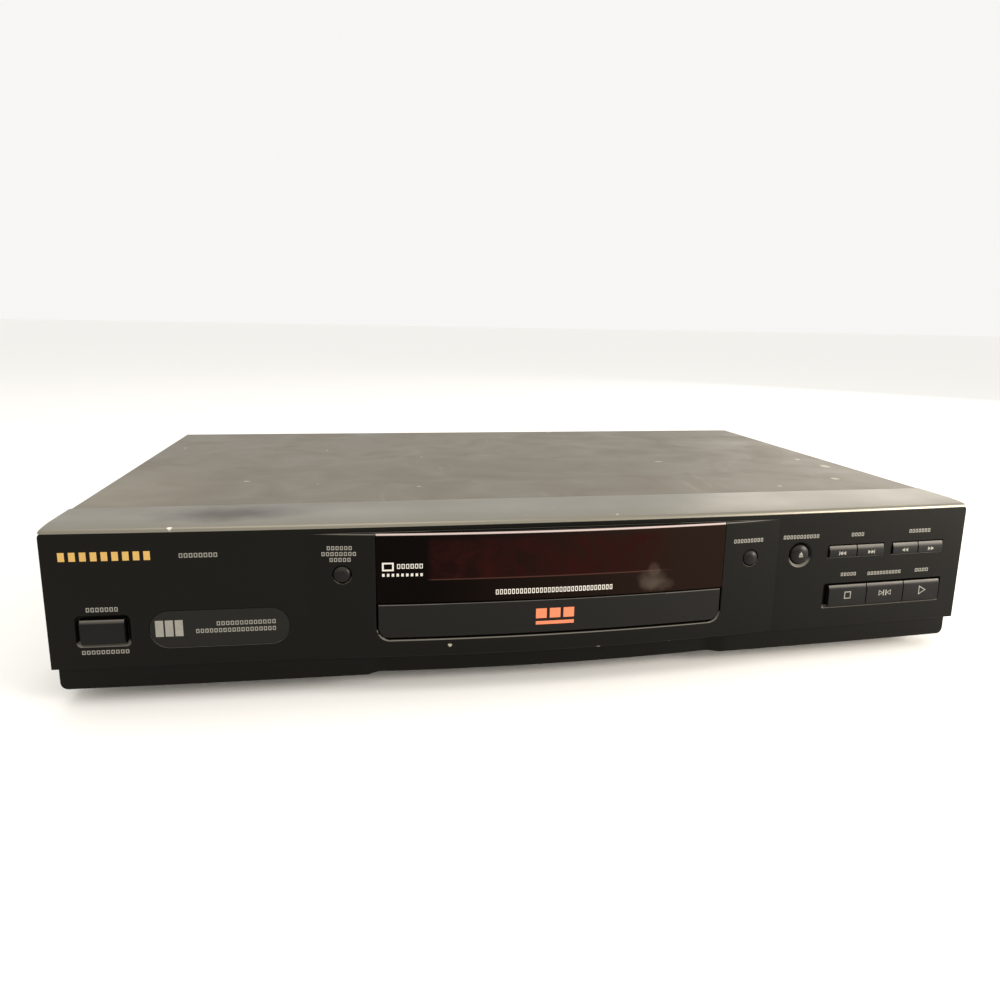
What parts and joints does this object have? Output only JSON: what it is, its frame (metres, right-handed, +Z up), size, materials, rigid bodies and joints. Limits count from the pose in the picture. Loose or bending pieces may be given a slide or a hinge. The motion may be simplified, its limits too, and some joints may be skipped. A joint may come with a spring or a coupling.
{
  "type": "dvd player with tray",
  "caption": "Full-size home disc player: wide low steel case, bowed black front with smoked window, motor-driven disc tray and push buttons.",
  "frame": {"origin": "middle of the whole player in X and Y, on the plane that the feet stand on", "axes": "+X to the viewer's right, along the width; +Y from the front panel to the back; +Z up"},
  "size_m": [0.43, 0.2874, 0.079],
  "materials": {
    "cover_paint": "satin grey-taupe paint on folded steel",
    "chassis_steel": "zinc-plated sheet steel",
    "fascia_black": "satin black moulded plastic",
    "trim_silver": "silver paint on moulded plastic",
    "window_smoke": "smoked red-brown clear plastic",
    "badge_grey": "dark grey plastic",
    "door_grey": "satin dark grey moulded plastic",
    "key_black": "satin black moulded plastic",
    "rear_black": "black painted sheet steel",
    "foot_rubber": "black rubber",
    "socket_black": "black plastic",
    "socket_metal": "nickel plating",
    "socket_orange": "orange plastic",
    "board_green": "green circuit board",
    "board_brown": "brown paper circuit board",
    "chip_black": "moulded chip packages",
    "coil_yellow": "taped transformer winding",
    "heatsink_alu": "extruded aluminium",
    "capacitor_sleeve": "shrunk sleeve",
    "tube_glass": "display tube glass",
    "loader_plastic": "moulded black plastic",
    "bridge_steel": "pressed steel",
    "motor_steel": "plated motor can",
    "belt_rubber": "rubber belt",
    "screw_steel": "plated screws",
    "gear_white": "white acetal",
    "tray_black": "satin black moulded plastic",
    "sled_metal": "die-cast metal",
    "lens_glass": "coated lens",
    "brass_pulley": "turned brass"
  },
  "bodies": {
    "case": {"bottom_chassis": "chassis_steel", "top_cover": "cover_paint", "front_panel": "fascia_black", "top_trim": "trim_silver", "display_window": "window_smoke", "badge_plate": "badge_grey", "rear_panel": "rear_black", "foot_front_left": "foot_rubber", "foot_front_right": "foot_rubber", "foot_rear_left": "foot_rubber", "foot_rear_right": "foot_rubber", "phono_block": "socket_black", "phono_sleeves": "socket_metal", "video_socket": "socket_black", "digital_socket": "socket_orange", "mains_inlet": "socket_black", "inlet_pins": "socket_metal", "main_board": "board_green", "board_chips": "chip_black", "power_board": "board_brown", "power_transformer": "coil_yellow", "heatsink": "heatsink_alu", "smoothing_capacitors": "capacitor_sleeve", "display_board": "board_brown", "display_tube": "tube_glass", "left_key_board": "board_brown", "right_key_board": "board_brown", "key_switches": "chip_black", "loader_frame": "loader_plastic", "clamp_bridge": "bridge_steel", "loading_motor": "motor_steel", "drive_belt": "belt_rubber", "cover_screws": "screw_steel", "board_screws": "screw_steel", "loader_screws": "screw_steel"},
    "tray": {"disc_tray": "tray_black", "tray_door": "door_grey"},
    "drive_gear": {"drive_gear": "gear_white"},
    "belt_pulley": {"belt_pulley": "gear_white"},
    "motor_pulley": {"motor_pulley": "brass_pulley"},
    "lift_slider": {"lift_slider": "gear_white"},
    "traverse": {"traverse_frame": "loader_plastic", "traverse_motors": "motor_steel", "guide_rods": "screw_steel"},
    "turntable": {"turntable": "loader_plastic"},
    "sled": {"pickup_sled": "sled_metal", "pickup_lens": "lens_glass"},
    "lead_screw": {"lead_screw": "screw_steel"},
    "clamper": {"clamper": "gear_white"},
    "power_button": {"power_button": "key_black"},
    "surround_button": {"surround_button": "key_black"},
    "scroll_button": {"scroll_button": "key_black"},
    "open_close_button": {"open_close_button": "key_black"},
    "skip_back_button": {"skip_back_button": "key_black"},
    "skip_forward_button": {"skip_forward_button": "key_black"},
    "search_back_button": {"search_back_button": "key_black"},
    "search_forward_button": {"search_forward_button": "key_black"},
    "stop_button": {"stop_button": "key_black"},
    "pause_button": {"pause_button": "key_black"},
    "play_button": {"play_button": "key_black"}
  },
  "joints": [
    {"name": "tray_slide", "type": "slide", "parent": "case", "child": "tray", "axis": [0, -1, 0], "range_m": [0, 0.138]},
    {"name": "drive_gear_spin", "type": "hinge", "parent": "case", "child": "drive_gear", "pos_m": [-0.052, -0.101, 0.029], "axis": [0, 0, 1], "continuous": true},
    {"name": "belt_pulley_spin", "type": "hinge", "parent": "case", "child": "belt_pulley", "pos_m": [-0.06473, -0.08827, 0.025], "axis": [0, 0, 1], "continuous": true},
    {"name": "motor_pulley_spin", "type": "hinge", "parent": "case", "child": "motor_pulley", "pos_m": [-0.06473, -0.10577, 0.025], "axis": [0, 0, 1], "continuous": true},
    {"name": "traverse_lift", "type": "hinge", "parent": "case", "child": "traverse", "pos_m": [0, 0.067, 0.0255], "axis": [-1, 0, 0], "range_deg": [0, 5]},
    {"name": "lift_slide", "type": "slide", "parent": "case", "child": "lift_slider", "axis": [1, 0, 0], "range_m": [0, 0.024]},
    {"name": "turntable_spin", "type": "hinge", "parent": "traverse", "child": "turntable", "pos_m": [0, -0.05894, 0.03084], "axis": [0, -0.0872, 0.9962], "continuous": true},
    {"name": "sled_slide", "type": "slide", "parent": "traverse", "child": "sled", "axis": [0, 0.9962, 0.0872], "range_m": [0, 0.034]},
    {"name": "lead_screw_spin", "type": "hinge", "parent": "traverse", "child": "lead_screw", "pos_m": [0.0308, -0.05761, 0.0156], "axis": [0, 0.9962, 0.0872], "continuous": true},
    {"name": "clamper_spin", "type": "hinge", "parent": "case", "child": "clamper", "pos_m": [0, -0.058, 0.044], "axis": [0, 0, 1], "continuous": true},
    {"name": "power_press", "type": "slide", "parent": "case", "child": "power_button", "axis": [0, 1, 0], "range_m": [0, 0.001], "stiffness_N_per_m": 300, "springref_m": -0.001},
    {"name": "surround_press", "type": "slide", "parent": "case", "child": "surround_button", "axis": [0, 1, 0], "range_m": [0, 0.001], "stiffness_N_per_m": 300, "springref_m": -0.001},
    {"name": "scroll_press", "type": "slide", "parent": "case", "child": "scroll_button", "axis": [0, 1, 0], "range_m": [0, 0.001], "stiffness_N_per_m": 300, "springref_m": -0.001},
    {"name": "open_close_press", "type": "slide", "parent": "case", "child": "open_close_button", "axis": [0, 1, 0], "range_m": [0, 0.001], "stiffness_N_per_m": 300, "springref_m": -0.001},
    {"name": "skip_back_press", "type": "slide", "parent": "case", "child": "skip_back_button", "axis": [0, 1, 0], "range_m": [0, 0.001], "stiffness_N_per_m": 300, "springref_m": -0.001},
    {"name": "skip_forward_press", "type": "slide", "parent": "case", "child": "skip_forward_button", "axis": [0, 1, 0], "range_m": [0, 0.001], "stiffness_N_per_m": 300, "springref_m": -0.001},
    {"name": "search_back_press", "type": "slide", "parent": "case", "child": "search_back_button", "axis": [0, 1, 0], "range_m": [0, 0.001], "stiffness_N_per_m": 300, "springref_m": -0.001},
    {"name": "search_forward_press", "type": "slide", "parent": "case", "child": "search_forward_button", "axis": [0, 1, 0], "range_m": [0, 0.001], "stiffness_N_per_m": 300, "springref_m": -0.001},
    {"name": "stop_press", "type": "slide", "parent": "case", "child": "stop_button", "axis": [0, 1, 0], "range_m": [0, 0.001], "stiffness_N_per_m": 300, "springref_m": -0.001},
    {"name": "pause_press", "type": "slide", "parent": "case", "child": "pause_button", "axis": [0, 1, 0], "range_m": [0, 0.001], "stiffness_N_per_m": 300, "springref_m": -0.001},
    {"name": "play_press", "type": "slide", "parent": "case", "child": "play_button", "axis": [0, 1, 0], "range_m": [0, 0.001], "stiffness_N_per_m": 300, "springref_m": -0.001}
  ],
  "couplings": [
    {"joint": "drive_gear_spin", "follows": "tray_slide", "rad_per_m": -83.333},
    {"joint": "belt_pulley_spin", "follows": "tray_slide", "rad_per_m": 166.67},
    {"joint": "motor_pulley_spin", "follows": "tray_slide", "rad_per_m": 479.17},
    {"joint": "lift_slide", "follows": "traverse_lift", "m_per_rad": 0.27502},
    {"joint": "lead_screw_spin", "follows": "sled_slide", "rad_per_m": 523.6}
  ]
}
